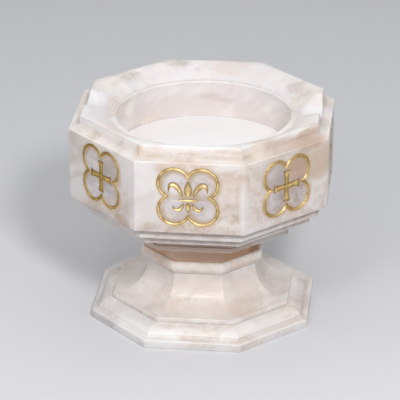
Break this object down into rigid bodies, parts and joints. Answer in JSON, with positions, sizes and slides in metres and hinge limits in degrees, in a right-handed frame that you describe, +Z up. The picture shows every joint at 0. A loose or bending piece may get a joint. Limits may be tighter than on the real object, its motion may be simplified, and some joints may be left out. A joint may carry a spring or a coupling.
{
  "type": "holy water stoup",
  "caption": "Free-standing octagonal stone stoup: stepped bowl with a round basin, on a short collared neck, a spreading foot and a moulded plinth.",
  "frame": {"origin": "centre of the plinth's underside, on the surface the stoup stands on", "axes": "+Z up along the common axis of all the stones, with one flat face of the octagon towards -Y and one towards +X"},
  "size_m": [0.356, 0.356, 0.3065],
  "materials": {
    "bowl_alabaster": "polished, veined, with gilded carving",
    "stem_alabaster": "polished, veined, brown-stained at the neck",
    "plinth_alabaster": "polished, worn along the arrises",
    "white_marble": "honed",
    "white_cement": "matt",
    "brown_resin": "matt, set resin cement",
    "brass": "dull machined brass",
    "leather": "vegetable tanned, undyed"
  },
  "bodies": {
    "root": {"bowl": "bowl_alabaster", "neck": "stem_alabaster", "collar": "stem_alabaster", "foot": "stem_alabaster", "plinth": "plinth_alabaster", "floor_disc": "white_marble", "floor_bed": "white_cement", "bed_under_foot": "brown_resin", "bed_under_collar": "brown_resin", "bed_under_neck": "brown_resin", "bed_under_bowl": "brown_resin", "tie_rod": "brass", "upper_nut": "brass", "upper_washer": "brass", "upper_packing": "leather", "lower_nut": "brass", "lower_washer": "brass", "lower_packing": "leather"}
  },
  "joints": []
}
